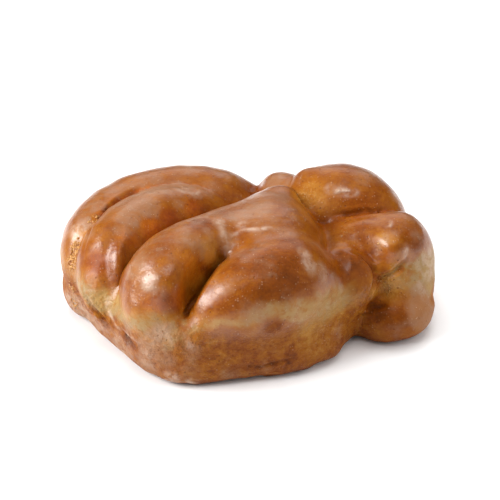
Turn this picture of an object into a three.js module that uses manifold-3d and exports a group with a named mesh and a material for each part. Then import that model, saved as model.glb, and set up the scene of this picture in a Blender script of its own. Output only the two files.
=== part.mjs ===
// Apple fritter: one piece of fried, glazed yeast dough with deep folds in its top.
//
// The dough is a low cushion with a flat base. Slashes divide its top into puffed lobes: three
// fingers that curve from the left side to the back, one broad lobe at the front, a small knob at
// the back, and lobes and rolls at the right end. Every lobe is a sphere drawn out along a curved
// spine, and all of them are joined into one solid, so that the creases lie where lobes meet.
//
// Units are millimetres. +X runs along the length, +Y to the back and +Z up. The origin is the
// centre of the base.

import * as THREE from "three";
import { mergeVertices } from "three/addons/utils/BufferGeometryUtils.js";
import Module from "manifold-3d";

const wasm = await Module();
wasm.setup();

// Driving dimensions
const LENGTH = 112;
const DEPTH = 80;
const HEIGHT = 38;

// How finely each kind of shape is faceted: points around it, and rings from end to end
const LOBE_FACETS = { around: 28, rings: 26 };
const SLASH_FACETS = { around: 16, rings: 14 };
const CUSHION_FACETS = { around: 64, rings: 20 };

// The power that blunts a shape's ends: 1 leaves them round, and less makes them fuller
const LOBE_FULLNESS = 0.85;
const CUSHION_FULLNESS = 0.75;

// Points closer than this share of the sphere's radius are one point
const WELD = 1e-4;

const CRUST = { color: 0xb5713a, roughness: 0.35, metalness: 0 };

// ---------------------------------------------------------------------------------------------
// The layout. A place is [x, y, z], as shares of half the length, half the depth and the height.
// Thicknesses are shares of the height, spread evenly along the spine.
// ---------------------------------------------------------------------------------------------

// The lower half of the dough, which the lobes swell out over. Its outline is seen from above,
// and its underside, widest line and top are heights.
const underside = {
  outline: [
    [-0.32, -1.02], [-0.51, -0.93], [-0.68, -0.64], [-0.84, -0.3], [-0.94, 0.05], [-0.93, 0.47],
    [-0.75, 0.8], [-0.39, 0.97], [0, 0.93], [0.36, 0.9], [0.68, 0.78], [0.89, 0.5], [0.99, 0.17],
    [0.99, -0.1], [0.86, -0.33], [0.68, -0.3], [0.55, -0.46], [0.29, -0.78], [0, -0.94],
  ],
  low: -0.42,
  widest: 0.37,
  high: 0.66,
};

// width is the half-width of a lobe, and rise and drop are its reach above and below the spine.
const lobes = [
  // Left finger, at the back
  {
    spine: [
      [-0.8, -0.25, 0.24], [-0.83, -0.1, 0.42], [-0.81, 0.15, 0.53], [-0.71, 0.42, 0.54],
      [-0.52, 0.61, 0.54], [-0.23, 0.69, 0.54], [0.04, 0.69, 0.43], [0.25, 0.68, 0.26],
    ],
    width: [0.18, 0.25, 0.28, 0.29, 0.3, 0.33, 0.32, 0.24],
    rise: [0.08, 0.17, 0.3, 0.33, 0.33, 0.33, 0.28, 0.21],
    drop: [0.32],
  },
  // Middle finger
  {
    spine: [
      [-0.66, -0.5, 0.21], [-0.71, -0.4, 0.42], [-0.69, -0.12, 0.55], [-0.54, 0.2, 0.59],
      [-0.29, 0.44, 0.55], [-0.05, 0.53, 0.47],
    ],
    width: [0.18, 0.26, 0.29, 0.3, 0.3, 0.26],
    rise: [0.08, 0.18, 0.33, 0.34, 0.33, 0.29],
    drop: [0.32],
  },
  // Front finger
  {
    spine: [
      [-0.38, -0.83, 0.24], [-0.41, -0.79, 0.45], [-0.41, -0.62, 0.58], [-0.33, -0.42, 0.61],
      [-0.16, -0.18, 0.61], [0.01, 0.1, 0.62], [0.09, 0.42, 0.62],
    ],
    width: [0.21, 0.36, 0.38, 0.36, 0.35, 0.36, 0.29],
    rise: [0.08, 0.2, 0.37, 0.39, 0.38, 0.36, 0.3],
    drop: [0.32],
  },
  // Front corner, below the slash between the front finger and the broad lobe
  {
    spine: [[-0.48, -0.8, 0.32], [-0.3, -0.86, 0.37], [-0.11, -0.78, 0.37]],
    width: [0.13, 0.16, 0.13],
    rise: [0.16, 0.2, 0.16],
    drop: [0.21],
  },
  // Side roll, at the right end of the front
  {
    spine: [[0.41, -0.1, 0.55], [0.5, -0.25, 0.51], [0.48, -0.42, 0.24]],
    width: [0.18, 0.24, 0.24],
    rise: [0.18, 0.21, 0.21],
    drop: [0.26],
  },
  // Knob at the back
  {
    spine: [[0.09, 0.72, 0.45], [0.18, 0.64, 0.61], [0.25, 0.38, 0.61]],
    width: [0.18, 0.21, 0.21],
    rise: [0.21, 0.24, 0.24],
    drop: [0.32],
  },
  // Back right lobe
  {
    spine: [[0.16, 0.38, 0.55], [0.5, 0.49, 0.59], [0.82, 0.2, 0.5]],
    width: [0.32, 0.37, 0.32],
    rise: [0.34, 0.39, 0.32],
    drop: [0.42],
  },
  // Right lobe
  {
    spine: [[0.36, -0.05, 0.53], [0.61, 0.03, 0.54], [0.82, 0.03, 0.53], [0.98, -0.07, 0.39]],
    width: [0.26, 0.3, 0.3, 0.24],
    rise: [0.24, 0.28, 0.28, 0.21],
    drop: [0.32],
  },
  // The right lobe's nose
  {
    spine: [[0.66, 0.1, 0.66], [0.73, -0.07, 0.64], [0.73, -0.2, 0.57]],
    width: [0.16, 0.18, 0.18],
    rise: [0.18, 0.18, 0.16],
    drop: [0.18],
  },
  // Roll below the right lobe
  {
    spine: [[0.54, -0.28, 0.17], [0.77, -0.26, 0.18], [0.95, -0.03, 0.21]],
    width: [0.21, 0.26, 0.24],
    rise: [0.18],
    drop: [0.26],
  },
  // Roll below the left finger
  {
    spine: [[-0.79, -0.2, 0.13], [-0.87, 0.05, 0.21], [-0.84, 0.35, 0.21]],
    width: [0.16],
    rise: [0.18],
    drop: [0.26],
  },
];

// The slash between the front finger and the broad lobe widens to a pit. It is cut before the
// broad lobe is laid against it, so that the lobe keeps its full edge.
const slash = {
  spine: [[-0.35, -0.99, 0.54], [-0.22, -0.71, 0.73], [-0.12, -0.43, 0.9]],
  width: [0.05, 0.13, 0.14],
  rise: [0.16, 0.24, 0.24],
  drop: [0.11, 0.24, 0.24],
};

const broadLobe = [
  // Its front
  {
    spine: [[-0.32, -0.93, 0.42], [-0.02, -0.72, 0.57], [0.21, -0.47, 0.58], [0.46, -0.33, 0.51]],
    width: [0.16, 0.32, 0.39, 0.32],
    rise: [0.14, 0.37, 0.38, 0.29],
    drop: [0.37],
  },
  // Its back, which runs up to the knob
  {
    spine: [[0.06, -0.6, 0.58], [0.1, -0.2, 0.61], [0.11, 0.21, 0.62], [0.11, 0.57, 0.5]],
    width: [0.36, 0.45, 0.35, 0.21],
    rise: [0.39, 0.39, 0.32, 0.24],
    drop: [0.32],
  },
];

// ---------------------------------------------------------------------------------------------
// Shapes
// ---------------------------------------------------------------------------------------------

const place = ([x, y, z]) => new THREE.Vector3((x * LENGTH) / 2, (y * DEPTH) / 2, z * HEIGHT);

// A thickness at share t of a spine, from a list that is spread evenly along it.
function thickness(list, t) {
  if (list.length === 1) return list[0] * HEIGHT;
  const points = list.map((share) => new THREE.Vector3(share * HEIGHT, 0, 0));
  return new THREE.CatmullRomCurve3(points).getPoint(t).x;
}

// A signed power: of a circle's sine and cosine, it makes those of a fuller round.
const signedPower = (value, power) => Math.sign(value) * Math.abs(value) ** power;

// A closed geometry in which neighbouring faces share their points.
function welded(geometry) {
  geometry.deleteAttribute("normal");
  geometry.deleteAttribute("uv");
  return mergeVertices(geometry, WELD);
}

// A welded geometry as a solid that can be joined and cut.
function solidOf(geometry) {
  return new wasm.Manifold(
    new wasm.Mesh({
      numProp: 3,
      vertProperties: geometry.attributes.position.array,
      triVerts: new Uint32Array(geometry.index.array),
    }),
  );
}

// A solid's faces as a three.js geometry.
function geometryOf(solid) {
  const { vertProperties, triVerts } = solid.getMesh();
  const geometry = new THREE.BufferGeometry();
  geometry.setAttribute("position", new THREE.BufferAttribute(vertProperties, 3));
  geometry.setIndex(new THREE.BufferAttribute(triVerts, 1));
  return geometry;
}

// A ball of radius 1 with its poles on Y, each point of which is moved by a function.
function shapedBall({ around, rings }, move) {
  const ball = welded(new THREE.SphereGeometry(1, around, rings));
  const position = ball.attributes.position;
  const point = new THREE.Vector3();
  for (let i = 0; i < position.count; i++) {
    move(point.fromBufferAttribute(position, i));
    position.setXYZ(i, point.x, point.y, point.z);
  }
  return solidOf(ball);
}

// A puffed lobe: the ball's poles go to the ends of the spine, and its rings lie across it.
function lobe({ spine, width, rise, drop }, facets) {
  const curve = new THREE.CatmullRomCurve3(spine.map(place));
  const up = new THREE.Vector3(0, 0, 1);
  return shapedBall(facets, (p) => {
    const t = THREE.MathUtils.clamp((1 - signedPower(p.y, LOBE_FULLNESS)) / 2, 0, 1);
    const ring = Math.hypot(p.x, p.z);
    const fuller = ring > 0 ? ring ** LOBE_FULLNESS / ring : 0;
    const sideways = p.z * fuller * thickness(width, t);
    const upward = p.x * fuller * thickness(p.x > 0 ? rise : drop, t);
    const heading = curve.getTangent(t);
    const side = heading.clone().cross(up).normalize();
    const crown = side.clone().cross(heading);
    p.copy(curve.getPoint(t)).addScaledVector(side, sideways).addScaledVector(crown, upward);
  });
}

// A cushion: the ball's poles go to the middle of its top and underside, and its equator to the
// outline.
function cushion({ outline, low, widest, high }, facets) {
  const curve = new THREE.CatmullRomCurve3(outline.map(([x, y]) => place([x, y, 0])), true);
  const middle = new THREE.Box3().setFromPoints(curve.getSpacedPoints(facets.around));
  const centre = middle.getCenter(new THREE.Vector3());
  return shapedBall(facets, (p) => {
    const ring = Math.hypot(p.x, p.z);
    const turn = (Math.atan2(p.z, p.x) / (2 * Math.PI) + 1) % 1;
    const reach = Math.abs(signedPower(p.y, CUSHION_FULLNESS));
    const height = widest + reach * (p.y > 0 ? high - widest : low - widest);
    p.copy(centre).lerp(curve.getPointAt(turn), Math.min(ring, 1) ** CUSHION_FULLNESS);
    p.z = height * HEIGHT;
  });
}

// ---------------------------------------------------------------------------------------------
// The fritter
// ---------------------------------------------------------------------------------------------

function doughGeometry() {
  let dough = cushion(underside, CUSHION_FACETS);
  for (const shape of lobes) dough = dough.add(lobe(shape, LOBE_FACETS));
  dough = dough.subtract(lobe(slash, SLASH_FACETS));
  for (const shape of broadLobe) dough = dough.add(lobe(shape, LOBE_FACETS));

  // Everything below the base is cut away, which leaves the base flat.
  const below = new THREE.BoxGeometry(2 * LENGTH, 2 * DEPTH, HEIGHT).translate(0, 0, -HEIGHT / 2);
  const geometry = geometryOf(dough.subtract(solidOf(welded(below))));

  // The box is set to the driving dimensions, with the centre of the base at the origin.
  geometry.computeBoundingBox();
  const size = geometry.boundingBox.getSize(new THREE.Vector3());
  const centre = geometry.boundingBox.getCenter(new THREE.Vector3());
  geometry.translate(-centre.x, -centre.y, 0);
  geometry.scale(LENGTH / size.x, DEPTH / size.y, HEIGHT / size.z);
  geometry.computeVertexNormals();
  return geometry;
}

const fritter = new THREE.Mesh(doughGeometry(), new THREE.MeshStandardMaterial(CRUST));
fritter.name = "fritter";

const part = new THREE.Group();
part.add(fritter);

export default part;
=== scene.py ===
# %% [markdown]
# # An apple fritter
# A fritter of yeast dough is slashed, left to rise and fried. The slashes open into deep folds
# between puffed lobes, the oil browns the crust except for a pale line round the waist, where the
# dough floated, and a thin sugar glaze runs over it and dries to a film. The solid that arrives
# with the frame already has the lobes. This lesson gives it a living surface: soft walls, tight
# folds, ridges of glaze and a layered finish.

# %% The frame
import math
import random

import bmesh
import bpy
import numpy as np
from mathutils import Matrix, Quaternion, Vector, noise
from mathutils.bvhtree import BVHTree


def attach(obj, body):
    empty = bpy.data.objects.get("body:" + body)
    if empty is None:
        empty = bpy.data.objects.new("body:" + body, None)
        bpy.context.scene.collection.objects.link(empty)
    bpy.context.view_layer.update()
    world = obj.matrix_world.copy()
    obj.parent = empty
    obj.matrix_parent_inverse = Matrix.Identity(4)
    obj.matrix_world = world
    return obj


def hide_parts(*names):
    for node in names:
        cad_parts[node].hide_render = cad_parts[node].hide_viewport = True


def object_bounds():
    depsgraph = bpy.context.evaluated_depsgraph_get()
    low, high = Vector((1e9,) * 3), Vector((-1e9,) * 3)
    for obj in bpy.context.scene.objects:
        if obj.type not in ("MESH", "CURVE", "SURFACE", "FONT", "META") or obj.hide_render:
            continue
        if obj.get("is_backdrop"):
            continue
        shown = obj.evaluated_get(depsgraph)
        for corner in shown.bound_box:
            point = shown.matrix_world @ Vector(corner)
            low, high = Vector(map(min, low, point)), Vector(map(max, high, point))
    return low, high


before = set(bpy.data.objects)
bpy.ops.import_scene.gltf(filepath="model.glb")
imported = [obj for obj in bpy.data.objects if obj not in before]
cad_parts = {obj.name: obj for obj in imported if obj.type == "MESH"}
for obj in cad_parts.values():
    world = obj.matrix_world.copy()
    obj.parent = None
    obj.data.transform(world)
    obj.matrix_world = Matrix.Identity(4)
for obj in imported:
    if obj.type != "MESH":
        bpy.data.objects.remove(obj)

CAD_LOW, CAD_HIGH = (Vector(corner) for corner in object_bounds())
CENTRE = (CAD_LOW + CAD_HIGH) / 2
SIZE = CAD_HIGH - CAD_LOW
MM = 0.001
print("the solid is", [round(side / MM, 1) for side in SIZE], "mm")


# %% [markdown]
# ## Places on the fritter
# Every place is given the way a baker would point at it: so far along the length and the depth
# from the middle, and so far up. The shares run from -1 to 1 across the box and from 0 to 1 up
# it, so that all detail follows the solid if its size changes.

# %% A place in shares of the box
def at(x, y, z):
    return Vector((CENTRE.x + x * SIZE.x / 2, CENTRE.y + y * SIZE.y / 2, CAD_LOW.z + z * SIZE.z))


print("the top of the middle is at", [round(v / MM, 1) for v in at(0, 0, 1)], "mm")


# %% [markdown]
# ## Putting things in the scene
# Every mesh, lamp and camera needs an object that carries it and a collection that shows it. Two
# helpers see to both. A new object stands at the origin, unturned, and a mesh keeps its place in
# its own points, so that patterns stay where they are.

# %% Putting things in the scene
def add(name, data):
    """Puts a mesh, a lamp or a camera in the scene, as an object at the origin."""
    thing = bpy.data.objects.new(name, data)
    bpy.context.scene.collection.objects.link(thing)
    return thing


def add_shape(name, shape):
    """Does the same with a bmesh that is finished."""
    mesh = bpy.data.meshes.new(name)
    shape.to_mesh(mesh)
    shape.free()
    return add(name, mesh)


# %% [markdown]
# ## The camera
# A long lens from well above table height looks down into the folds without bending them. It
# aims a little above the middle of the fritter, which leaves room for the shadow.

# %% The camera
CAMERA_TILT = math.radians(32)
CAMERA_DISTANCE = 0.65
LENS = 160
SENSOR = 36
AIM = at(-0.001, 0.0225, 0.558)

backwards = Vector((0, -math.cos(CAMERA_TILT), math.sin(CAMERA_TILT)))
camera = add("camera", bpy.data.cameras.new("camera"))
camera.data.lens = LENS
camera.data.sensor_width = SENSOR
camera.data.clip_start = 0.01
camera.location = AIM + backwards * CAMERA_DISTANCE
camera.rotation_euler = backwards.to_track_quat("Z", "Y").to_euler()
bpy.context.scene.camera = camera
print("the camera stands", CAMERA_DISTANCE, "m away")


# %% [markdown]
# ## The dough's skin
# The solid is made of facets, and its lobes meet in knife-sharp creases. A voxel remesh turns a
# merged copy of it into an even net of small squares, which can be smoothed, pushed and pinched
# anywhere. Sculpting by hand would do the same, but rules that say where the dough is soft can
# be read, changed and run again.

# %% A copy of the solid, remeshed
VOXEL = 0.6 * MM


def settle(piece):
    """Makes a piece's live modifiers part of its mesh."""
    graph = bpy.context.evaluated_depsgraph_get()
    shape = bpy.data.meshes.new_from_object(piece.evaluated_get(graph))
    piece.modifiers.clear()
    piece.data = shape


def make_skin():
    copy = bmesh.new()
    copy.from_mesh(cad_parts["fritter"].data)
    bmesh.ops.remove_doubles(copy, verts=copy.verts, dist=1e-6)
    piece = add_shape("dough_skin", copy)
    net = piece.modifiers.new("net", "REMESH")
    net.mode = "VOXEL"
    net.voxel_size = VOXEL
    net.use_smooth_shade = True
    settle(piece)
    return piece


skin = make_skin()
print("the skin has", len(skin.data.polygons), "faces")


# %% [markdown]
# ## Tools for working the skin
# All points of the net are read and written at once as a numpy array, because tens of thousands
# of them would be slow one by one. A line drawn on the dough is a smooth path through a few
# places, dropped onto the skin, and each nearby point knows how far it is from the line.

# %% Reading and writing all points at once
def read_points(piece, source="vertices", value="co"):
    flat = np.empty(len(piece.data.vertices) * 3, np.float32)
    getattr(piece.data, source).foreach_get(value, flat)
    return flat.reshape(-1, 3).astype(float)


def move_points(piece, points):
    points[:, 2] = np.maximum(points[:, 2], CAD_LOW.z)
    piece.data.vertices.foreach_set("co", points.astype(np.float32).ravel())
    piece.data.update()


def normals_of(piece):
    return read_points(piece, "vertex_normals", "vector")


def ramp(value, low, high):
    """0 at low, 1 at high, and a smooth S between them."""
    t = np.clip((value - low) / (high - low), 0, 1)
    return t * t * (3 - 2 * t)


# %% Smooth paths, and how near each point is to one
STEPS_PER_LEG = 10


def path_through(places):
    """A smooth curve through places, given as shares of the box (Catmull-Rom)."""
    knots = [at(*place) for place in places]
    knots = [2 * knots[0] - knots[1]] + knots + [2 * knots[-1] - knots[-2]]
    path = []
    for a, b, c, d in zip(knots, knots[1:], knots[2:], knots[3:]):
        for t in np.arange(STEPS_PER_LEG) / STEPS_PER_LEG:
            pull = (2 * a - 5 * b + 4 * c - d) * t * t + (3 * b - a - 3 * c + d) * t ** 3
            path.append((2 * b + (c - a) * t + pull) / 2)
    path.append(knots[-2])
    return path


def tree_of(piece):
    """A search tree, which finds the nearest place on a piece."""
    return BVHTree.FromPolygons(
        [vertex.co for vertex in piece.data.vertices],
        [polygon.vertices for polygon in piece.data.polygons],
    )


def line_on(tree, places):
    return np.array([tree.find_nearest(point)[0] for point in path_through(places)])


def beside(points, path, reach):
    """The points within reach of a path, their distances, and how far along it they are."""
    close = np.flatnonzero(
        ((points > path.min(axis=0) - reach) & (points < path.max(axis=0) + reach)).all(axis=1)
    )
    apart = np.linalg.norm(points[close, None, :] - path[None, :, :], axis=2)
    nearest = apart.argmin(axis=1)
    distance = apart[np.arange(len(close)), nearest]
    inside = distance < reach
    return close[inside], distance[inside], nearest[inside] / (len(path) - 1)


# %% Smoothing with a softness for each point
SOFTNESS_LEVELS = 20


def smooth(piece, rounds, softness=None):
    soften = piece.modifiers.new("soften", "SMOOTH")
    soften.factor = 0.5
    soften.iterations = rounds
    if softness is not None:
        group = piece.vertex_groups.new(name="softness")
        levels = np.round(np.clip(softness, 0, 1) * SOFTNESS_LEVELS).astype(int)
        for level in range(1, SOFTNESS_LEVELS + 1):
            share = level / SOFTNESS_LEVELS
            group.add(np.flatnonzero(levels == level).tolist(), share, "REPLACE")
        soften.vertex_group = group.name
    settle(piece)
    piece.vertex_groups.clear()


# %% [markdown]
# ## Soft and sharp
# Risen dough is soft where it was never cut: its wall is one smooth belly, and some folds run
# out gently on top. So each point of the net gets a softness, and a Smooth modifier works
# through a vertex group that holds it. The crisp folds of the top are hardly touched, and the
# front of the right end keeps most of its shape, because its rolls reach down to the foot.

# %% Smoothing the wall and the gentle folds
WALL_TOP = (0.45, 0.66)
WALL_ROUNDS = 70
RIGHT_END_KEEPS = 0.85
FOLD_ROUNDS = 160
GENTLE_FOLDS = [
    # a path along the fold, and how far to each side it runs out, in millimetres
    ([(-0.04, -0.3, 0.86), (-0.04, -0.1, 0.9), (-0.02, 0.12, 0.92), (0.0, 0.3, 0.9)], 10),
    ([(0.0, -0.33, 0.9), (0.1, -0.3, 0.95), (0.25, -0.26, 0.96), (0.38, -0.28, 0.88)], 9),
    ([(0.42, -0.28, 0.76), (0.46, -0.4, 0.65)], 7),
    ([(0.7, 0.04, 0.86), (0.74, -0.02, 0.86)], 6),
    ([(-0.5, -0.8, 0.42), (-0.36, -0.88, 0.5), (-0.28, -0.92, 0.52)], 7),
    ([(-0.34, -0.78, 0.72), (-0.31, -0.6, 0.84), (-0.25, -0.42, 0.92), (-0.15, -0.32, 0.92)], 6),
    ([(0.36, 0.2, 0.68), (0.38, 0.15, 0.64), (0.4, -0.0, 0.69), (0.43, -0.08, 0.68)], 6),
    ([(0.44, 0.18, 0.69), (0.49, 0.12, 0.75), (0.55, 0.11, 0.78), (0.61, 0.13, 0.8)], 3.5),
    ([(0.77, -0.31, 0.35), (0.83, -0.3, 0.37), (0.88, -0.27, 0.39), (0.94, -0.2, 0.38)], 6),
]

points = read_points(skin)
wall = 1 - ramp((points[:, 2] - CAD_LOW.z) / SIZE.z, *WALL_TOP)
right_end = ramp(points[:, 0], at(0.5, 0, 0).x, at(0.62, 0, 0).x)
right_end *= 1 - ramp(points[:, 1], at(0, 0, 0).y, at(0, 0.2, 0).y)
wall *= 1 - RIGHT_END_KEEPS * right_end
smooth(skin, WALL_ROUNDS, wall)

gentle = np.zeros(len(points))
tree = tree_of(skin)
for places, reach in GENTLE_FOLDS:
    close, distance, _ = beside(points, line_on(tree, places), reach * MM)
    gentle[close] = np.maximum(gentle[close], 1 - ramp(distance / (reach * MM), 0.2, 1))
smooth(skin, FOLD_ROUNDS, gentle)
print("the wall is soft on", int((wall > 0.5).sum()), "of", len(points), "points")


# %% How hollow each point is
def hollowness(piece, rounds):
    """How far below a smoother copy each point lies, in metres, and the way there."""
    copy = add("smoother", piece.data.copy())
    smooth(copy, rounds)
    apart = read_points(copy) - read_points(piece)
    bpy.data.objects.remove(copy)
    return (apart * normals_of(piece)).sum(axis=1), apart


# %% Smoothing the facets away, but not the folds
FOLD_STARTS, FOLD_KEPT = 0.03, 0.2
FACET_ROUNDS = 45

hollow, _ = hollowness(skin, 30)
smooth(skin, FACET_ROUNDS, 1 - ramp(hollow / MM, FOLD_STARTS, FOLD_KEPT))
smooth(skin, 4)
print("kept", int((hollow > FOLD_KEPT * MM).sum()), "points of the folds crisp")


# %% [markdown]
# ## Deep folds and full lobes
# A fold in real dough is deeper and tighter than the meeting line of two smooth shapes, and the
# lobes beside it are fuller. The difference between the skin and a much smoother copy of it says
# where the hollows are. Pushing the hollow points a little further that way deepens each fold,
# as a sculptor's contrast brush does, and the lobes beside it look fuller. The push fades out
# towards the base, which stays flat.

# %% Deepening, first broadly and then close to each fold
CONTRASTS = [
    # rounds of smoothing in the smoother copy, and how much of the difference is added
    (60, 0.55),
    (14, 1.3),
]

BASE_KEPT, BASE_LEFT = 1 * MM, 6 * MM
PUSH_FROM, PUSH_FULL = -0.2, 0.8

off_base = ramp(read_points(skin)[:, 2], CAD_LOW.z + BASE_KEPT, CAD_LOW.z + BASE_LEFT)
for rounds, contrast in CONTRASTS:
    hollow, apart = hollowness(skin, rounds)
    gain = contrast * off_base * ramp(hollow / MM, PUSH_FROM, PUSH_FULL)
    move_points(skin, read_points(skin) - apart * gain[:, None])
    print("the deepest fold went down", round(float((hollow * gain).max()) / MM, 2), "mm more")
smooth(skin, 1)


# %% [markdown]
# ## Swellings and hollows
# A few places are fuller or flatter than the solid has them: the nose of the right lobe, the
# knob at the back, the belly of the wall. A swelling is a soft round hill that fades out with
# distance, and a hollow is the same with a negative height. Each moves the points along their
# normals, as a round brush does in sculpting.

# %% Swellings and hollows
SWELLS = [
    # place, reach and height in millimetres
    ((-0.67, -0.36, 0.7), 4.5, 0.8), ((-0.83, -0.32, 0.67), 5, -0.7), ((0.4, 0.12, 0.66), 4.5, 0.8),
    ((0.76, -0.18, 0.72), 4, 1.1), ((0.74, -0.22, 0.62), 3.5, 0.9), ((-0.9, 0.08, 0.7), 4, 0.5),
    ((-0.42, -0.8, 0.8), 6, 0.9), ((-0.58, -0.77, 0.74), 4, -0.4), ((-0.2, -0.45, 0.78), 4.5, 1.9),
    ((-0.26, -0.57, 0.67), 3.5, 1.3), ((0.13, 0.38, 0.88), 4, 1.7), ((0.22, 0.37, 0.86), 4, 1.9),
    ((0.76, -0.17, 0.75), 2, 0.4), ((0.72, -0.19, 0.72), 2, 0.25),
    # the outline: the right end, the left wall, the back of the left finger, the back right lobe
    ((0.98, -0.05, 0.6), 12, -2.0), ((0.97, -0.1, 0.34), 5, 0.4), ((0.95, -0.25, 0.2), 7, -1.2),
    ((-0.98, 0.03, 0.35), 9, 0.5), ((-0.93, 0.1, 0.62), 6, -0.7), ((0.82, 0.2, 0.82), 6, 1.2),
    ((-0.86, 0.34, 0.82), 8, -0.7), ((-0.7, 0.52, 0.87), 8, -0.7), ((0.29, 0.56, 0.88), 4, 1.3),
    ((0.02, 0.7, 0.7), 4, -1.2),
    # the front of the wall
    ((0.2, -0.85, 0.12), 9, 2.2), ((0.42, -0.64, 0.12), 7, 2.5), ((-0.25, -0.98, 0.08), 8, 0.6),
    ((0.3, -0.78, 0.03), 6, 1.0), ((0.42, -0.62, 0.03), 5, 1.2), ((-0.38, -0.98, 0.05), 5, 1.0),
    ((-0.02, -0.93, 0.1), 8, 0.7),
]

points = read_points(skin)
normals = normals_of(skin)
for place, reach, rise in SWELLS:
    distance = np.linalg.norm(points - np.array(at(*place)), axis=1) / MM
    points += normals * (np.exp(-((distance / reach) ** 2)) * rise * MM)[:, None]
move_points(skin, points)
print("swelled", len(SWELLS), "places")


# %% [markdown]
# ## Drawn folds
# Some folds are too fine for the solid: the crisp line where one finger lies on the next, the
# tucks of the left wall, the tear above the foot, the lip below the nose of the right lobe.
# Each is drawn as a line on the skin, with its own width and depth. A groove has a rounded
# bottom, swells a little beside its edges, and runs out at both ends.

# %% Drawing grooves and ridges
ENDS_FADE = 0.4
SWELL_AT, SWELL_WIDTH = 1.9, 0.8
REACH = 3.2


def faded_ends(along, share):
    """0 at both ends of a line, and 1 from a share of its length inwards."""
    return ramp(np.minimum(along, 1 - along), 0, share)


def draw(points, normals, path, width, depth, swell):
    """Presses a groove into the points along a path, or raises a ridge where depth is negative."""
    close, distance, along = beside(points, path, REACH * width)
    profile = np.exp(-((distance / width) ** 2))
    profile -= swell * np.exp(-(((distance - SWELL_AT * width) / (SWELL_WIDTH * width)) ** 2))
    points[close] -= normals[close] * (profile * faded_ends(along, ENDS_FADE) * depth)[:, None]


def draw_all(piece, lines, swell=0.25):
    points = read_points(piece)
    normals = normals_of(piece)
    tree = tree_of(piece)
    for places, width, depth in lines.values():
        draw(points, normals, line_on(tree, places), width * MM, depth * MM, swell)
    move_points(piece, points)
    print("drew", ", ".join(lines))


# %% Folds
FOLDS = {
    # name: places along the line, then its width and depth in millimetres
    "left finger on middle finger": (
        [(-0.88, -0.3, 0.6), (-0.86, -0.2, 0.72), (-0.83, -0.08, 0.78), (-0.79, 0.08, 0.8),
         (-0.73, 0.23, 0.82), (-0.66, 0.36, 0.83), (-0.57, 0.47, 0.84), (-0.45, 0.54, 0.85)],
        0.8, 0.75),
    "back right lobe on right lobe": (
        [(0.41, 0.2, 0.73), (0.47, 0.2, 0.76), (0.54, 0.2, 0.77), (0.63, 0.2, 0.78),
         (0.7, 0.22, 0.77), (0.77, 0.24, 0.75)], 0.8, 0.5),
    "hollow left of the nose": (
        [(0.48, 0.0, 0.76), (0.55, -0.09, 0.75), (0.6, -0.16, 0.7), (0.63, -0.21, 0.65),
         (0.65, -0.24, 0.59)], 2.8, 0.9),
    "side roll on broad lobe": (
        [(0.43, -0.18, 0.71), (0.45, -0.29, 0.7), (0.47, -0.38, 0.66), (0.48, -0.46, 0.58)],
        1.5, 0.6),
    "side roll on right lobe": (
        [(0.45, -0.14, 0.69), (0.51, -0.22, 0.72), (0.58, -0.24, 0.67), (0.63, -0.27, 0.6),
         (0.64, -0.31, 0.54), (0.62, -0.39, 0.45), (0.58, -0.44, 0.34), (0.54, -0.49, 0.24)],
        0.9, 1.3),
    "under the nose": (
        [(0.62, -0.31, 0.5), (0.66, -0.29, 0.5), (0.71, -0.27, 0.52), (0.76, -0.23, 0.56),
         (0.79, -0.2, 0.61), (0.8, -0.18, 0.67)], 0.8, 1.0),
    "hole above the low roll": (
        [(0.59, -0.44, 0.36), (0.63, -0.37, 0.32), (0.68, -0.36, 0.31), (0.73, -0.34, 0.32)],
        1.3, 1.2),
    "end of the pit": (
        [(-0.26, -0.6, 0.58), (-0.29, -0.69, 0.57), (-0.31, -0.77, 0.56), (-0.32, -0.84, 0.55),
         (-0.31, -0.91, 0.52)], 0.8, 0.9),
    "tear above the foot": (
        [(-0.09, -0.95, 0.16), (-0.02, -0.94, 0.17), (0.05, -0.92, 0.15), (0.12, -0.89, 0.17),
         (0.19, -0.86, 0.18), (0.25, -0.82, 0.2)], 0.5, 0.6),
    "dent of the front wall": (
        [(0.03, -0.95, 0.47), (0.07, -0.94, 0.5), (0.12, -0.92, 0.54), (0.16, -0.9, 0.57)],
        1.0, 0.35),
    "long tuck of the left wall": (
        [(-0.91, -0.19, 0.37), (-0.86, -0.24, 0.25), (-0.79, -0.47, 0.29), (-0.73, -0.53, 0.24),
         (-0.67, -0.62, 0.13)], 0.75, 1.3),
    "short tuck of the left wall": (
        [(-0.87, -0.38, 0.52), (-0.84, -0.47, 0.45), (-0.78, -0.53, 0.36), (-0.72, -0.56, 0.25),
         (-0.66, -0.66, 0.14)], 0.65, 1.0),
    "leaf of the left wall": (
        [(-0.68, -0.64, 0.34), (-0.65, -0.71, 0.31), (-0.62, -0.76, 0.3), (-0.58, -0.83, 0.27)],
        1.0, 0.9),
}
draw_all(skin, FOLDS)


# %% [markdown]
# ## Shoulders and ridges
# With a negative depth the same tool raises a line. Wide ones are the shoulders of the lobes,
# where the crust stretched over an edge and now catches the light in a streak. The crest of the
# broad lobe gets no swelling, because raised lines turn it into a trough on each side, and the
# streak would be doubled. Narrow lines are ridges of glaze, which ran, met and dried. They are
# real relief, because a ridge made only in the material would have no highlight of its own when
# seen from the side.

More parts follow.
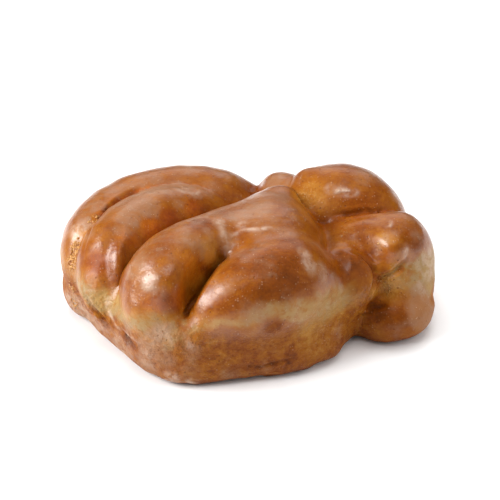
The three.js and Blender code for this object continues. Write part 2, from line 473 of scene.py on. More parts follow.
# %% Shoulders and crests
SHOULDERS = {
    "rim of the right lobe": (
        [(0.36, 0.13, 0.72), (0.43, 0.15, 0.76), (0.52, 0.15, 0.78), (0.62, 0.15, 0.79),
         (0.7, 0.17, 0.79)], 0.8, -0.12),
    "shoulder of the middle finger": (
        [(-0.6, -0.1, 0.9), (-0.63, -0.2, 0.85), (-0.66, -0.3, 0.79), (-0.67, -0.37, 0.71),
         (-0.67, -0.43, 0.61), (-0.66, -0.48, 0.52), (-0.66, -0.53, 0.44)], 1.9, -1.35),
}
CRESTS = {
    "crest of the broad lobe": (
        [(-0.32, -0.88, 0.53), (-0.29, -0.85, 0.6), (-0.26, -0.83, 0.66), (-0.22, -0.79, 0.73),
         (-0.18, -0.75, 0.79), (-0.15, -0.69, 0.85), (-0.1, -0.62, 0.9)], 1.5, -0.9),
}
draw_all(skin, SHOULDERS)
draw_all(skin, CRESTS, swell=0)


# %% Ridges of dried glaze
RIDGES = {
    # name: places along the line, its width and depth in millimetres
    "over the front finger": (
        [(-0.34, -0.3, 0.99), (-0.29, -0.2, 0.99), (-0.23, -0.18, 0.98), (-0.17, -0.22, 0.97)],
        0.4, -0.12),
    "beside the pit": (
        [(-0.16, -0.22, 0.97), (-0.14, -0.3, 0.95), (-0.13, -0.37, 0.9), (-0.11, -0.41, 0.8)],
        0.9, -0.1),
    "over the broad lobe": (
        [(-0.12, -0.36, 0.9), (-0.04, -0.28, 0.93), (0.05, -0.29, 0.95), (0.17, -0.29, 0.95)],
        0.6, -0.16),
    "across the middle finger": (
        [(-0.4, 0.42, 0.92), (-0.33, 0.36, 0.88), (-0.27, 0.4, 0.86), (-0.25, 0.5, 0.86)],
        0.7, -0.08),
    "across the back right lobe": (
        [(0.41, 0.3, 0.89), (0.47, 0.31, 0.91), (0.53, 0.3, 0.91), (0.58, 0.29, 0.89)], 0.7, -0.15),
    "rim of the nose": (
        [(0.79, -0.15, 0.71), (0.79, -0.18, 0.66), (0.78, -0.2, 0.61)], 0.6, -0.15),
    "on the right lobe": (
        [(0.69, -0.05, 0.8), (0.72, -0.03, 0.81), (0.73, 0.02, 0.81), (0.71, 0.06, 0.81)],
        0.5, -0.12),
    "down the left corner": (
        [(-0.73, -0.5, 0.51), (-0.72, -0.54, 0.44), (-0.71, -0.58, 0.38), (-0.68, -0.63, 0.32)],
        0.7, -0.2),
    "along the left wall": (
        [(-0.7, -0.58, 0.33), (-0.66, -0.66, 0.32), (-0.6, -0.81, 0.35), (-0.55, -0.88, 0.32)],
        0.6, -0.15),
    "below the slash": (
        [(-0.33, -0.94, 0.5), (-0.31, -0.98, 0.44), (-0.29, -1.0, 0.38), (-0.29, -0.99, 0.31)],
        0.9, -0.08),
    "on the front corner": (
        [(-0.52, -0.92, 0.37), (-0.52, -0.9, 0.28), (-0.51, -0.9, 0.18), (-0.51, -0.88, 0.1)],
        0.9, -0.08),
}
draw_all(skin, RIDGES)


# %% [markdown]
# ## Lumps
# The dough rose unevenly, so no lobe is a clean balloon. Three layers of noise push the skin in
# and out: broad swellings, small lumps and a fine unevenness. The noise is the same on each run.

# %% Lumps
LUMPS = [
    # size of a lump, and how far it stands out
    (15 * MM, 0.45 * MM),
    (6.5 * MM, 0.16 * MM),
    (2.6 * MM, 0.06 * MM),
]


def lumps(points, size, seed):
    shift = Vector((seed, 2 * seed, 3 * seed))
    return np.array([noise.noise(Vector(point) / size + shift) for point in points])


points = read_points(skin)
normals = normals_of(skin)
push = np.zeros(len(points))
for seed, (size, height_of_lump) in enumerate(LUMPS, start=1):
    push += lumps(points, size, seed) * height_of_lump
move_points(skin, points + normals * (push * off_base)[:, None])
print("the lumps stand out up to", round(float(push.max()) / MM, 2), "mm")


# %% [markdown]
# ## The foot
# Dough that rested on a tray is rounded under at the foot and touches the tray unevenly, so the
# lowest few millimetres are drawn inwards, more in some places than in others.

# %% Tucking in the foot
FOOT_HEIGHT = 3.5 * MM
FOOT_TUCK = 1.5 * MM
FOOT_WAVE = 5 * MM
FOOT_UNEVEN = 1.4

points = read_points(skin)
tuck = (1 - np.clip((points[:, 2] - CAD_LOW.z) / FOOT_HEIGHT, 0, 1)) ** 2 * FOOT_TUCK
tuck *= 1 + FOOT_UNEVEN * lumps(points, FOOT_WAVE, 11)
outward = points[:, :2] - np.array(CENTRE)[:2]
outward /= np.linalg.norm(outward, axis=1)[:, None]
points[:, :2] -= outward * tuck[:, None]
move_points(skin, points)
print("the foot is tucked in by up to", round(float(tuck.max()) / MM, 2), "mm")


# %% [markdown]
# ## What the fryer and the glaze left behind, and painted light and shade
# The finish isn't spread by chance. The oil left a pale line round the waist, glaze pooled
# orange beside the folds, the tops carry the milky film, and some places browned more, tore, or
# dried dull. Part of the finish is painted light and shade: the folds, the hollows, the foot and
# the right side are painted darker as shade, the orange beside the folds is also a painted glow,
# the milky tops are also a painted sheen, the pit is painted lighter in places as if lit, and a
# few spots of film and white glaze are painted highlights. Each of these is measured on the skin
# or set by soft round spots, and kept as a number from 0 to 1 on every point, in a named
# attribute, which the material then reads. Painting them by hand would look the same, but it
# would be lost when the shape changes. In the tables, a spot is a place, its reach in
# millimetres, and its strength.

# %% Keeping a number on every point
CORE = 0.2


def keep(piece, name, values):
    layer = piece.data.attributes.new(name, "FLOAT", "POINT")
    layer.data.foreach_set("value", np.clip(values, 0, 1).astype(np.float32))
    print(f"{name}: {values.mean():.2f} on average")


def spots(points, places):
    """The strongest of several soft round spots, each of which is full in its core alone."""
    strength = np.zeros(len(points))
    for place, reach, amount in places:
        distance = np.linalg.norm(points - np.array(at(*place)), axis=1)
        strength = np.maximum(strength, amount * (1 - ramp(distance / MM, CORE * reach, reach)))
    return strength


points = read_points(skin)
normals = normals_of(skin)
tree = tree_of(skin)
shares = (points - np.array(CENTRE)) / (np.array(SIZE) / 2)
height = (points[:, 2] - CAD_LOW.z) / SIZE.z
wobble = lumps(points, 9 * MM, 7) * 0.6 + lumps(points, 3 * MM, 8) * 0.4


# %% The folds, near and wide, and the wall
# The right end is rolled under, so its wall counts only a little as one
RIGHT_IS_NO_WALL = 0.8
NEAR_ROUNDS, WIDE_ROUNDS = 25, 220

near_hollow, _ = hollowness(skin, NEAR_ROUNDS)
wide_hollow, _ = hollowness(skin, WIDE_ROUNDS)
folds = ramp(near_hollow / MM, 0.05, 0.5)
slopes = ramp(wide_hollow / MM, -0.35, 1.3)
wall = 1 - ramp(height, 0.4, 0.6)
keep(skin, "wall", wall * (1 - RIGHT_IS_NO_WALL * ramp(shares[:, 0], 0.55, 0.7)))


# %% [markdown]
# ## The pale line
# A fritter floats, and each side is fried in turn, so a line round its waist hardly touches the
# oil and stays the colour of dough. A band of one height would look painted. Here its edges are
# given for a few directions round the fritter and joined smoothly, with noise to make them
# ragged, and soft spots fill it out along the front.

# %% The pale line round the waist
WAIST = [
    # degrees round from the right, its lower and upper edge in shares of the height, how pale
    (0, 0.3, 0.58, 0.95), (25, 0.34, 0.58, 0.75), (60, 0.38, 0.58, 0.8), (95, 0.36, 0.56, 0.7),
    (130, 0.38, 0.6, 0.85), (165, 0.4, 0.58, 0.6), (190, 0.42, 0.56, 0.3), (205, 0.44, 0.57, 0.9),
    (214, 0.38, 0.53, 1.0), (226, 0.38, 0.56, 0.95), (234, 0.43, 0.58, 0.9), (241, 0.47, 0.59, 0.8),
    (248, 0.44, 0.56, 0.55), (255, 0.49, 0.56, 0.7), (262, 0.56, 0.63, 0.75),
    (270, 0.58, 0.68, 0.65), (278, 0.57, 0.73, 0.6), (289, 0.49, 0.69, 0.65),
    (300, 0.4, 0.66, 0.7), (312, 0.4, 0.6, 0.7), (322, 0.42, 0.54, 0.25), (332, 0.36, 0.54, 0.1),
    (338, 0.36, 0.54, 0.1), (343, 0.36, 0.57, 0.85), (349, 0.3, 0.59, 1.0), (354, 0.29, 0.59, 1.0),
]
PALE_SPOTS = [
    ((-0.42, -0.94, 0.45), 7, 0.75), ((-0.34, -0.97, 0.45), 5, 0.4), ((-0.5, -0.92, 0.42), 6, 0.6),
    ((-0.32, -0.88, 0.53), 3, 0.5), ((0.3, -0.79, 0.46), 8, 0.5), ((0.4, -0.66, 0.46), 7, 0.5),
    ((0.45, -0.55, 0.48), 5, 0.4), ((0.54, -0.46, 0.51), 5, 0.4),
]
RAGGED = 0.07

turns, lower, upper, paleness = (np.array(column, float) for column in zip(*WAIST))
turn = np.degrees(np.arctan2(shares[:, 1], shares[:, 0])) % 360
line_low = np.interp(turn, turns, lower, period=360) + RAGGED * wobble
line_high = np.interp(turn, turns, upper, period=360) + RAGGED * wobble
pale = ramp(height, line_low - 0.06, line_low + 0.05)
pale *= 1 - ramp(height, line_high - 0.07, line_high + 0.07)
pale *= np.interp(turn, turns, paleness, period=360)
pale *= ramp(np.hypot(shares[:, 0], shares[:, 1]), 0.55, 0.7)
pale *= 1 - ramp(normals[:, 2], 0.55, 0.9)
pale = np.maximum(pale, spots(points, PALE_SPOTS) * (1 + wobble))
keep(skin, "pale", pale)


# %% [markdown]
# ## The milky film, and painted sheen
# Glaze is poured over the hot fritter. It stays on the tops and shelves, where it dries to a
# milky film, and drains from the folds and steep sides. The milky look of the tops also stands
# for a sheen, the reflection of the bright room, so this mask holds painted sheen as well as
# film. How far a place faces upwards gives most of that, and the rest is set by spots of film,
# some of which are painted highlights, and bare spots.

# %% The milky film and painted sheen
FILM_AND_HIGHLIGHT_SPOTS = [
    # on the left and middle finger
    ((-0.89, 0.17, 0.78), 7, 0.6), ((-0.84, 0.3, 0.83), 8, 0.7), ((-0.74, 0.47, 0.86), 9, 0.7),
    ((-0.53, 0.6, 0.87), 10, 0.7), ((-0.32, 0.73, 0.86), 10, 0.7), ((-0.16, 0.72, 0.83), 8, 0.6),
    ((-0.82, 0.07, 0.78), 6, 1.0), ((-0.82, -0.1, 0.77), 6, 0.8), ((-0.78, 0.15, 0.79), 7, 0.9),
    ((-0.7, 0.24, 0.84), 9, 0.9), ((-0.6, 0.28, 0.88), 9, 0.8), ((-0.5, 0.36, 0.9), 10, 0.8),
    ((-0.54, 0.1, 0.89), 10, 1.0), ((-0.62, -0.04, 0.89), 8, 0.9), ((-0.66, -0.16, 0.86), 6, 0.7),
    ((-0.38, 0.48, 0.87), 10, 0.8), ((-0.22, 0.53, 0.82), 8, 0.6), ((-0.38, 0.22, 0.84), 4.5, 0.6),
    ((-0.28, 0.36, 0.82), 4.5, 0.6),
    # on the front finger, on both sides of the pit
    ((-0.56, -0.3, 0.9), 7, 0.8), ((-0.6, -0.45, 0.88), 7, 0.7), ((-0.58, -0.6, 0.85), 9, 0.8),
    ((-0.5, -0.79, 0.82), 5, 1.0), ((-0.3, -0.44, 0.98), 8, 0.5), ((-0.27, -0.53, 0.92), 6, 0.6),
    ((-0.16, -0.26, 0.96), 5, 0.8), ((-0.21, -0.36, 0.95), 4.5, 0.8),
    ((-0.13, -0.36, 0.9), 6, 0.9), ((-0.11, -0.42, 0.8), 4, 0.8),
    # on the broad lobe and the side roll
    ((-0.05, -0.12, 0.97), 9, 0.8), ((0.05, -0.05, 0.97), 9, 0.8), ((0.2, -0.1, 0.96), 10, 0.45),
    ((0.05, -0.38, 0.93), 6, 0.5), ((-0.1, -0.84, 0.84), 9, 0.6), ((0.0, -0.6, 0.92), 9, 0.5),
    ((0.06, -0.74, 0.89), 9, 0.35), ((0.0, -0.95, 0.68), 7, 0.6), ((0.18, -0.84, 0.72), 7, 0.4),
    # the first two spots here are film and a painted highlight on the broad lobe's right
    ((0.26, -0.54, 0.93), 4, 0.8), ((0.3, -0.64, 0.84), 5, 0.9), ((0.36, -0.58, 0.77), 6, 0.8),
    ((0.42, -0.52, 0.66), 5, 0.8), ((0.36, -0.3, 0.86), 6, 0.7), ((-0.16, -0.47, 0.8), 6, 0.6),
    ((-0.05, -0.48, 0.87), 6, 0.6), ((0.44, -0.26, 0.7), 5, 0.5),
    # on the right lobe and the back right lobe
    ((0.63, 0.09, 0.8), 5, 0.1), ((0.7, 0.05, 0.81), 6, 0.3), ((0.78, 0.12, 0.8), 6, 0.4),
    ((0.77, 0.39, 0.8), 6, 0.9), ((0.84, -0.01, 0.75), 6, 0.45), ((0.45, 0.5, 0.98), 7, 0.5),
    # the last spot of this line and the one below are film and a painted highlight across the back
    # right lobe
    ((0.58, 0.4, 0.96), 5, 0.5), ((0.12, 0.58, 0.83), 7, 1.0), ((0.46, 0.3, 0.91), 3.5, 1.0),
    ((0.54, 0.29, 0.9), 3.5, 1.0),
    # on the wall
    ((-0.89, -0.18, 0.15), 9, 1.0), ((-0.88, -0.28, 0.42), 5, 0.9), ((-0.82, -0.28, 0.12), 7, 0.9),
    ((-0.42, -0.95, 0.42), 8, 0.9), ((-0.44, -0.96, 0.28), 8, 0.9), ((-0.52, -0.91, 0.3), 6, 1.0),
    ((-0.52, -0.88, 0.12), 8, 0.9), ((-0.33, -0.96, 0.44), 6, 0.6), ((-0.3, -1.0, 0.34), 6, 0.8),
    ((-0.64, -0.68, 0.12), 8, 0.8), ((-0.62, -0.78, 0.4), 4, 0.7), ((0.9, -0.34, 0.26), 11, 1.0),
    ((0.94, -0.28, 0.13), 9, 0.9), ((0.3, -0.75, 0.2), 7, 0.3), ((0.76, -0.47, 0.2), 7, 0.6),
    ((0.86, -0.42, 0.22), 6, 0.9), ((0.2, 0.5, 0.85), 5, 0.8),
    ((-0.15, -0.98, 0.3), 9, 0.35), ((0.85, -0.05, 0.72), 5, 0.7), ((0.46, 0.01, 0.74), 3, 0.6),
    ((-0.3, -0.97, 0.15), 8, 0.7), ((-0.1, -0.97, 0.1), 7, 0.5), ((0.44, -0.58, 0.25), 6, 0.5),
]
BARE_SPOTS = [
    # where it ran off, or never held
    ((-0.68, -0.36, 0.71), 5, 0.8), ((-0.67, -0.43, 0.61), 5, 0.9), ((-0.5, -0.06, 0.79), 6, 0.8),
    ((-0.42, 0.08, 0.79), 5, 0.7), ((-0.28, 0.26, 0.78), 4.5, 0.7), ((-0.3, -0.62, 0.86), 7, 0.6),
    ((-0.38, -0.84, 0.7), 9, 0.9), ((-0.8, 0.12, 0.79), 3, 0.7), ((-0.72, 0.27, 0.81), 3, 0.7),
    ((0.33, 0.31, 0.85), 8, 0.9), ((0.52, 0.21, 0.8), 8, 1.0), ((0.66, 0.25, 0.83), 8, 0.9),
    ((0.42, 0.42, 0.94), 5, 0.5), ((0.7, -0.2, 0.66), 7, 1.0), ((0.62, -0.1, 0.75), 6, 0.8),
    ((0.4, 0.02, 0.69), 7, 0.8), ((0.5, -0.02, 0.75), 6, 0.8), ((0.59, -0.15, 0.68), 6, 1.0),
    ((0.12, -0.91, 0.51), 6, 1.0), ((0.66, -0.27, 0.51), 5, 1.0), ((0.68, 0.08, 0.81), 8, 0.6),
    ((-0.77, -0.35, 0.69), 5, 1.0), ((0.57, 0.22, 0.82), 9, 1.0), ((-0.78, 0.12, 0.79), 4, 0.9),
    ((-0.2, -0.44, 0.78), 5, 0.9),
]

FILM_AND_SHEEN_ON_TOPS, FILM_ON_WALL, FILM_EVERYWHERE = 0.45, 0.2, 0.25

# film and painted sheen: places that face upwards get more of the milky colour
film_and_sheen = ramp(normals[:, 2], 0.4, 0.95) * (1 - ramp(slopes, 0.0, 0.6)) * FILM_AND_SHEEN_ON_TOPS
film_and_sheen = np.maximum(film_and_sheen, spots(points, FILM_AND_HIGHLIGHT_SPOTS)) * (1 - 0.9 * folds)
bare = spots(points, BARE_SPOTS)
film_and_sheen = np.maximum(film_and_sheen, FILM_ON_WALL * wall * ramp(-shares[:, 1], 0.3, 0.8))
film_and_sheen *= (1 - bare) * (1 + 0.25 * wobble)
keep(skin, "film_and_sheen", FILM_EVERYWHERE * (1 - bare) + (1 - FILM_EVERYWHERE) * film_and_sheen)


# %% [markdown]
# ## Rough, browned and pooled places, with painted shade, glow and light
# Crust that tore is rough and golden. Elsewhere the oil browned some places dark and left others
# golden, and beside the folds the clear glaze lies deep and makes the crust look more orange;
# that orange also stands for light glowing through the dough there, a painted glow. The folds,
# the broad hollows, the foot and the right side are painted darker as shade, and so are the
# creases, holes and shaded places under some of the dark spots, while some golden spots light up
# the pit as painted light. The folds, the pale line and the height give the base of it, and spots
# the rest.

# %% Where the crust is rough and golden
ROUGH_LINES = [
    # places along the line, and how far it reaches to each side in millimetres
    ([(-0.8, 0.13, 0.79), (-0.83, 0.01, 0.77), (-0.87, -0.02, 0.69), (-0.91, -0.07, 0.62),
      (-0.92, -0.13, 0.55), (-0.9, -0.24, 0.5)], 2.8),
    ([(-0.92, -0.2, 0.48), (-0.93, -0.18, 0.35), (-0.91, -0.17, 0.18)], 3.6),
]
GRAINY_SPOTS = [
    ((0.67, -0.18, 0.69), 7, 0.25), ((0.72, -0.22, 0.6), 6, 0.2), ((0.71, -0.3, 0.45), 7, 0.6),
    ((0.79, -0.33, 0.4), 6, 0.4), ((0.32, 0.33, 0.86), 9, 0.4), ((0.37, 0.26, 0.79), 6, 0.3),
    ((0.48, -0.02, 0.75), 6, 0.35), ((0.1, -0.9, 0.42), 10, 0.3), ((0.35, -0.72, 0.3), 10, 0.35),
]
TORN_SPOTS = [
    # the roughest places, where the crust tore
    ((-0.81, 0.09, 0.78), 3.5, 0.5), ((-0.84, 0.0, 0.76), 2.5, 0.4), ((-0.91, -0.06, 0.63), 4, 0.8),
    ((-0.93, -0.13, 0.55), 4.5, 1.0), ((-0.94, -0.17, 0.34), 3.5, 0.5),
    ((-0.94, -0.13, 0.17), 5, 0.9), ((-0.97, -0.08, 0.2), 3, 0.8), ((0.7, -0.29, 0.48), 4, 0.2),
    ((0.67, -0.16, 0.73), 3, 0.3),
]

rough = np.zeros(len(points))
for places, width in ROUGH_LINES:
    close, distance, _ = beside(points, line_on(tree, places), width * MM)
    rough[close] = np.maximum(rough[close], 1 - ramp(distance / (width * MM), 0.35, 1))
torn = spots(points, TORN_SPOTS)
rough = np.maximum(rough * (0.3 + 0.7 * torn), spots(points, GRAINY_SPOTS))
keep(skin, "rough", rough * (1 + 0.5 * wobble))


# %% How browned each place is, with painted shade
# darker crust, and painted shade: the spots at the end of the pit, under the nose, in the hole
# above the low roll, along the crease between the left and middle finger, at the corner below the
# slash and the three widest on the broad lobe paint shade into the colour
DARK_AND_SHADE_SPOTS = [
    ((0.12, -0.8, 0.88), 8, 0.6), ((0.25, -0.8, 0.74), 6, 0.5), ((0.0, -0.87, 0.83), 6, 0.35),
    ((0.2, -0.68, 0.91), 8, 0.45), ((0.0, -0.7, 0.9), 11, 0.5), ((-0.31, -0.77, 0.56), 3, 0.6),
    ((-0.32, -0.88, 0.53), 2.5, 0.9), ((-0.28, -0.67, 0.58), 3, 0.4),
    ((0.12, -0.91, 0.51), 4.5, 0.55),
    ((0.65, -0.3, 0.49), 3.5, 1.3), ((0.69, -0.27, 0.55), 2.5, 1.2), ((-0.15, -0.93, 0.7), 7, 0.3),
    ((0.7, -0.22, 0.65), 4, 0.4), ((0.22, -0.48, 0.92), 7, 0.4), ((-0.93, -0.17, 0.4), 6, 0.7),
    ((-0.46, -0.58, 0.93), 6, 0.35), ((-0.62, -0.76, 0.3), 4, 0.8), ((0.66, -0.42, 0.3), 6, 1.0),
    ((0.74, -0.45, 0.24), 7, 0.6), ((-0.4, -0.84, 0.68), 6, 0.4), ((-0.72, -0.36, 0.7), 5, 0.3),
    ((-0.68, -0.42, 0.62), 5, 0.5), ((-0.43, -0.57, 0.96), 5, 0.25), ((-0.38, -0.5, 0.98), 4, 0.25),
    ((-0.62, -0.7, 0.71), 5, 0.3), ((-0.5, -0.06, 0.79), 6, 0.2), ((-0.41, 0.1, 0.79), 5, 0.6),
    ((-0.25, -0.29, 0.99), 6, 1.0), ((-0.26, 0.3, 0.79), 6, 0.6), ((-0.78, 0.12, 0.78), 2, 0.5),
    ((0.6, -0.16, 0.71), 5, 0.2), ((-0.62, -0.74, 0.28), 4, 1.0), ((-0.59, -0.79, 0.26), 3, 0.9),
    ((0.42, -0.5, 0.7), 5, 0.6), ((0.46, -0.47, 0.62), 5, 0.4), ((0.48, -0.34, 0.68), 9, 0.35),
    ((0.86, -0.08, 0.75), 6, 0.4), ((0.42, 0.18, 0.68), 5, 0.4), ((0.05, -0.9, 0.34), 8, 0.2),
    ((-0.68, -0.3, 0.76), 4, 0.5), ((-0.79, -0.33, 0.69), 5, 0.5), ((-0.36, -0.96, 0.46), 6, 0.9),
    ((-0.4, -0.96, 0.38), 6, 0.6), ((0.57, 0.23, 0.82), 6, 0.4), ((-0.33, -0.92, 0.52), 6, 0.5),
    ((0.12, -0.78, 0.82), 14, 0.6), ((0.2, -0.86, 0.19), 4, 0.7), ((0.12, -0.89, 0.18), 3, 0.6),
    ((0.02, -0.93, 0.16), 4, 0.5), ((-0.07, -0.95, 0.16), 3, 0.5), ((-0.05, -0.96, 0.4), 5, 0.3),
    ((-0.8, 0.04, 0.8), 2, 0.6), ((-0.75, 0.2, 0.81), 2.5, 0.8), ((-0.7, 0.3, 0.82), 2.5, 0.7),
    ((-0.62, 0.42, 0.83), 2.5, 0.6),
]
GOLD_AND_LIT_SPOTS = [
    # the first five spots lighten the pit where it is shaded, painted light; the rest are golden
    # crust
    ((-0.21, -0.47, 0.86), 5.5, 1.5), ((-0.19, -0.43, 0.76), 4, 0.9),
    ((-0.25, -0.55, 0.67), 4, 0.6), ((-0.3, -0.62, 0.85), 7, 0.6), ((-0.25, -0.65, 0.7), 6, 0.5),
    ((0.72, -0.2, 0.64), 6, 0.6),
    ((0.33, 0.33, 0.86), 8, 0.8), ((0.28, 0.3, 0.8), 6, 1.0), ((0.7, -0.15, 0.76), 5, 0.8),
    ((0.58, -0.13, 0.7), 4, 0.5), ((0.7, -0.32, 0.46), 8, 0.6), ((0.32, -0.74, 0.3), 10, 0.5),
    ((0.45, -0.58, 0.35), 8, 0.4), ((-0.89, 0.0, 0.7), 5, 0.5), ((-0.92, -0.12, 0.5), 6, 0.5),
    ((0.9, -0.3, 0.2), 9, 0.4), ((-0.54, -0.06, 0.84), 5, 0.3), ((-0.68, 0.28, 0.81), 6, 0.6),
    ((-0.58, 0.42, 0.83), 6, 0.5), ((0.66, -0.31, 0.46), 6, 0.8), ((0.71, -0.28, 0.5), 6, 1.0),
    ((0.76, -0.29, 0.46), 5, 0.6),
]
POOLED_AND_GLOW_SPOTS = [
    # beside the folds, where the glaze pooled; the orange there is also a painted glow of light
    # through the dough
    ((-0.5, -0.06, 0.79), 7, 1.0), ((-0.42, 0.08, 0.79), 6, 0.8), ((-0.3, 0.24, 0.78), 5, 0.7),
    ((-0.62, -0.2, 0.8), 5, 0.7), ((-0.28, -0.64, 0.84), 7, 0.8), ((-0.35, -0.8, 0.7), 6, 0.7),
    ((-0.68, 0.3, 0.81), 5, 0.55), ((-0.56, 0.44, 0.83), 5, 0.55), ((-0.76, 0.15, 0.79), 4, 0.5),
    ((0.57, 0.22, 0.81), 7, 0.1), ((-0.24, -0.5, 0.8), 7, 0.6), ((0.7, -0.22, 0.65), 5, 0.45),
    ((-0.48, -0.87, 0.66), 6, 0.5), ((-0.78, -0.34, 0.68), 6, 0.5),
]
EVEN_BROWN = 0.42
SPOT_CHANGE = 0.3
# how much darker the foot is painted, as shade where the wall curves under
FOOT_SHADE = 0.2
# how much darker the right side is painted, as shade away from the lamp at the left
RIGHT_SIDE_SHADE = 0.05

# painted glow: the folds, the broad hollows and these spots are tinted orange as if light shone
# through the dough there, as well as for pooled glaze
pooled_and_glow = np.maximum(0.25 * np.maximum(folds, slopes), spots(points, POOLED_AND_GLOW_SPOTS))
keep(skin, "pooled_and_glow", pooled_and_glow * (1 - wall) * (1 - pale))
# painted shade: the folds and the broad hollows are made browner and darker, as shade falls there
browned_and_shaded = EVEN_BROWN + 0.06 * slopes + 0.14 * folds - 0.3 * pale - 0.12 * rough
# spots: darker crust and painted shade, golden crust and painted light in the pit
browned_and_shaded += SPOT_CHANGE * (spots(points, DARK_AND_SHADE_SPOTS) - spots(points, GOLD_AND_LIT_SPOTS))
# painted shade: darker towards the foot, where the wall curves under
browned_and_shaded += FOOT_SHADE * (1 - ramp(height, 0.0, 0.1))
# painted shade: the right side, which faces away from the lamp at the left, is made darker
browned_and_shaded += RIGHT_SIDE_SHADE * ramp(shares[:, 0], -0.2, 0.3) * (1 - wall)
keep(skin, "browned_and_shaded", browned_and_shaded)


# %% [markdown]
# ## Dull glaze, white glaze and painted highlights
# Thick glaze dries to a gloss, and thin glaze dries dull, so highlights break off where it is
# thin. Where it ran together it dried white, along the ridges that were drawn earlier and in
# drips on the wall. A few white spots are painted highlights instead, on the left and front
# fingers, the broad lobe, the nose and the back right lobe. The ridges are read again here, so
# that relief and colour stay together.

# %% Where the glaze dried dull
DULL_SPOTS = [
    ((-0.84, -0.2, 0.75), 6, 1.0), ((-0.82, -0.32, 0.67), 6, 1.0), ((-0.8, -0.42, 0.58), 5, 0.9),
    ((-0.79, -0.31, 0.72), 5, 1.0), ((-0.77, -0.37, 0.67), 5, 1.0), ((0.57, 0.22, 0.81), 7, 1.0),
    ((-0.38, -0.85, 0.7), 5, 1.0), ((-0.37, -0.84, 0.62), 5, 1.0), ((-0.09, -0.9, 0.8), 5, 1.0),
    ((-0.2, -0.8, 0.8), 3, 1.0), ((-0.22, -0.81, 0.76), 2, 0.9), ((-0.12, -0.82, 0.86), 4.5, 1.0),
    ((-0.14, -0.93, 0.72), 5, 1.0), ((-0.04, -0.88, 0.84), 7, 1.0), ((-0.3, -0.87, 0.55), 4, 1.0),
    ((0.35, 0.2, 0.73), 5, 1.0), ((0.58, -0.12, 0.71), 5, 0.8), ((0.31, 0.34, 0.86), 9, 1.0),
    ((0.3, 0.45, 0.92), 6, 0.9), ((0.45, 0.02, 0.74), 7, 0.5), ((0.12, -0.91, 0.51), 6, 1.0),
    ((0.69, -0.28, 0.49), 7, 1.0), ((0.15, -0.86, 0.62), 9, 0.8), ((0.3, -0.78, 0.6), 8, 0.8),
    ((-0.02, -0.95, 0.58), 8, 0.7), ((-0.18, -0.3, 0.98), 7, 0.6), ((0.72, -0.02, 0.79), 5, 0.4),
    ((-0.5, 0.0, 0.82), 7, 0.6), ((-0.3, 0.2, 0.8), 7, 0.6),
    ((0.1, -0.75, 0.85), 14, 0.35), ((0.2, -0.6, 0.9), 12, 0.35), ((0.64, -0.12, 0.75), 3.5, 0.9),
    ((0.67, -0.18, 0.7), 3, 0.7), ((-0.2, -0.92, 0.66), 2.5, 1.0), ((-0.17, -0.92, 0.71), 2.8, 1.0),
    ((-0.14, -0.91, 0.76), 3, 1.0), ((-0.11, -0.89, 0.8), 3, 1.0),
]

low_down = 1 - ramp(height, 0.35, 0.6)
dried = spots(points, DULL_SPOTS)
dull = np.maximum.reduce([0.7 * pale, 0.9 * rough, 0.6 * folds, low_down, dried])
keep(skin, "dull", dull)


# %% Lines and drips of white glaze, and painted highlights
# painted highlights: the spots at (-0.9, 0.04), (-0.5, -0.79), (-0.46, -0.82), (0.29, -0.63),
# (0.28, -0.56), (0.69, -0.15), (0.67, -0.18), (0.42, 0.33), (0.55, 0.3) and (0.515, 0.3); the
# others are white glaze
SUGAR_AND_HIGHLIGHT_SPOTS = [
    ((-0.39, -0.95, 0.09), 4, 1.0), ((-0.3, -0.97, 0.05), 3, 1.0), ((-0.16, -0.22, 0.97), 2.5, 0.8),
    ((-0.89, -0.19, 0.16), 8, 0.6), ((-0.8, -0.32, 0.1), 6, 0.35), ((-0.96, -0.09, 0.18), 4, 0.9),
    ((-0.94, -0.12, 0.1), 3, 0.8), ((-0.78, -0.43, 0.18), 7, 0.6), ((-0.72, -0.53, 0.16), 6, 0.35),
    ((-0.67, -0.63, 0.14), 7, 0.6), ((-0.61, -0.75, 0.17), 6, 0.35), ((-0.82, -0.48, 0.4), 4, 0.3),
    ((-0.43, -0.94, 0.45), 5, 0.35), ((-0.5, -0.92, 0.4), 4, 0.25), ((0.93, -0.08, 0.5), 8, 0.75),
    ((0.9, -0.22, 0.4), 6, 0.35), ((-0.52, -0.9, 0.2), 5, 0.4), ((0.29, -0.63, 0.86), 3.5, 0.5),
    ((-0.9, 0.04, 0.73), 5, 0.85), ((-0.5, -0.79, 0.81), 4, 0.5), ((-0.46, -0.82, 0.76), 4, 0.3),
    ((0.69, -0.15, 0.77), 3, 0.35), ((0.67, -0.18, 0.7), 2.5, 0.3), ((0.42, 0.33, 0.91), 2.5, 0.5),
    ((0.55, 0.3, 0.9), 2, 0.5), ((0.515, 0.3, 0.905), 2.5, 0.6), ((-0.05, -0.22, 0.95), 2.5, 0.5),
    ((0.28, -0.56, 0.92), 3, 0.6),
]
WHITE_FROM = 0.16
WHITE_WIDTH = 1.1

# the white mask holds the glaze ridges and drips, and the painted highlight spots
sugar = spots(points, SUGAR_AND_HIGHLIGHT_SPOTS)
for places, width, depth in RIDGES.values():
    close, distance, along = beside(points, line_on(tree, places), 3 * width * MM)
    line = np.exp(-((distance / (WHITE_WIDTH * width * MM)) ** 2)) * min(1, -depth / WHITE_FROM)
    sugar[close] = np.maximum(sugar[close], line * faded_ends(along, 0.35))
keep(skin, "sugar", sugar)


# %% [markdown]
# ## Building materials from nodes
# A material is a small machine of nodes. A few helpers keep its wiring readable: one adds a node
# and plugs in or sets its inputs, and the others mix two colours, spread a value between two
# limits, or let a pattern push a value up and down. All patterns read Object coordinates, which
# are metres here, so a noise of scale 400 has features of about 1/400 m.

